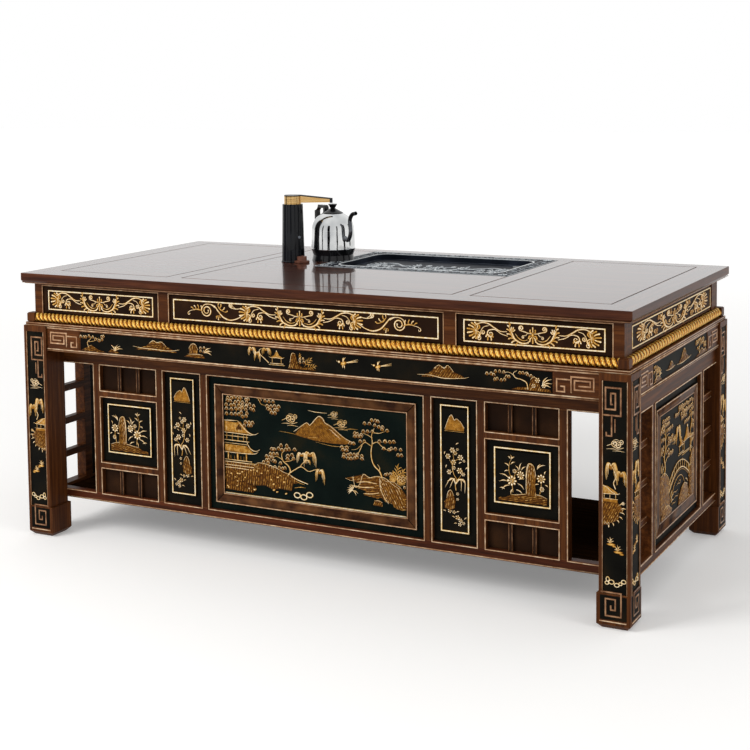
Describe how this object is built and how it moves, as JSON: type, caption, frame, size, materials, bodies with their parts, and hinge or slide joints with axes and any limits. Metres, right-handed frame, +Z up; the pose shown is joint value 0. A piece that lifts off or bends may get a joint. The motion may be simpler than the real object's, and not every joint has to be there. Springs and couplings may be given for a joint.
{
  "type": "tea table",
  "caption": "Long lacquered hardwood tea table with carved screens, sunk stone tray, swivelling water spout, lift-off kettle and drawers on the host's side.",
  "frame": {"origin": "on the floor under the middle of the table top", "axes": "+X along the table to the guests' right, guests at -Y, host and drawers at +Y, +Z up"},
  "size_m": [1.8, 0.9, 0.9593],
  "materials": {
    "polished_top": "hardwood under a clear polished varnish",
    "rosewood": "stained hardwood, satin lacquer",
    "gilded_wood": "carved wood with gold leaf",
    "black_lacquer": "black-green lacquer on wood with gilt relief",
    "tray_stone": "honed black stone",
    "aged_brass": "satin",
    "champagne_metal": "anodised",
    "black_plastic": "gloss",
    "polished_steel": "mirror polish",
    "pump_metal": "matt",
    "silicone": "matt"
  },
  "bodies": {
    "table": {"apron_front": "rosewood", "apron_left": "rosewood", "apron_rear": "rosewood", "apron_right": "rosewood", "big_panel": "black_lacquer", "bottom_board": "rosewood", "drawer_runners": "rosewood", "end_panel_left": "black_lacquer", "end_panel_right": "black_lacquer", "end_screen_left": "rosewood", "end_screen_right": "rosewood", "front_bottom_rail": "rosewood", "front_screen_frame": "rosewood", "front_top_rail": "rosewood", "hose_stub": "silicone", "kettle_stand": "black_plastic", "lattice_bars": "rosewood", "lattice_boards": "black_lacquer", "leg_front_left": "rosewood", "leg_front_right": "rosewood", "leg_rear_left": "rosewood", "leg_rear_right": "rosewood", "narrow_panel_left": "black_lacquer", "narrow_panel_right": "black_lacquer", "pump_motor": "pump_metal", "rope_moulding": "gilded_wood", "spout_column": "black_plastic", "square_panel_left": "black_lacquer", "square_panel_right": "black_lacquer", "tea_tray": "tray_stone", "top_cross_bars": "polished_top", "top_frame_front": "polished_top", "top_frame_left": "polished_top", "top_frame_rear": "polished_top", "top_frame_right": "polished_top", "top_panel_centre": "polished_top", "top_panel_left": "polished_top", "top_panel_right": "polished_top", "tray_drain": "aged_brass", "waist_end_left": "rosewood", "waist_end_right": "rosewood", "waist_frame_front": "rosewood", "waist_frame_rear": "rosewood", "waist_panel_centre": "rosewood", "waist_panel_left": "rosewood", "waist_panel_right": "rosewood", "water_tube": "silicone"},
    "left_drawer": {"drawer_left": "rosewood", "drawer_pull_left": "aged_brass"},
    "right_drawer": {"drawer_right": "rosewood", "drawer_pull_right": "aged_brass"},
    "arm": {"spout_arm": "champagne_metal", "spout_cover": "black_plastic"},
    "key": {"spout_key": "black_plastic"},
    "kettle": {"kettle_ring": "black_plastic", "kettle_body": "polished_steel", "kettle_handle": "black_plastic", "kettle_pipe": "polished_steel"},
    "lid": {"kettle_lid": "black_plastic"}
  },
  "joints": [
    {"name": "left_drawer_slide", "type": "slide", "parent": "table", "child": "left_drawer", "axis": [0, 1, 0], "range_m": [0, 0.26]},
    {"name": "right_drawer_slide", "type": "slide", "parent": "table", "child": "right_drawer", "axis": [0, 1, 0], "range_m": [0, 0.26]},
    {"name": "arm_swivel", "type": "hinge", "parent": "table", "child": "arm", "pos_m": [-0.309, 0.077, 0.932], "axis": [0, 0, 1], "range_deg": [-60, 60]},
    {"name": "key_press", "type": "slide", "parent": "table", "child": "key", "axis": [-0.9063, 0.4226, 0], "range_m": [0, 0.001], "stiffness_N_per_m": 400},
    {"name": "kettle_lift", "type": "slide", "parent": "table", "child": "kettle", "axis": [0.8485, 0.4703, 0.2425], "range_m": [0, 0.2]},
    {"name": "lid_lift", "type": "slide", "parent": "kettle", "child": "lid", "axis": [0.8485, 0.4703, 0.2425], "range_m": [0, 0.12]}
  ]
}
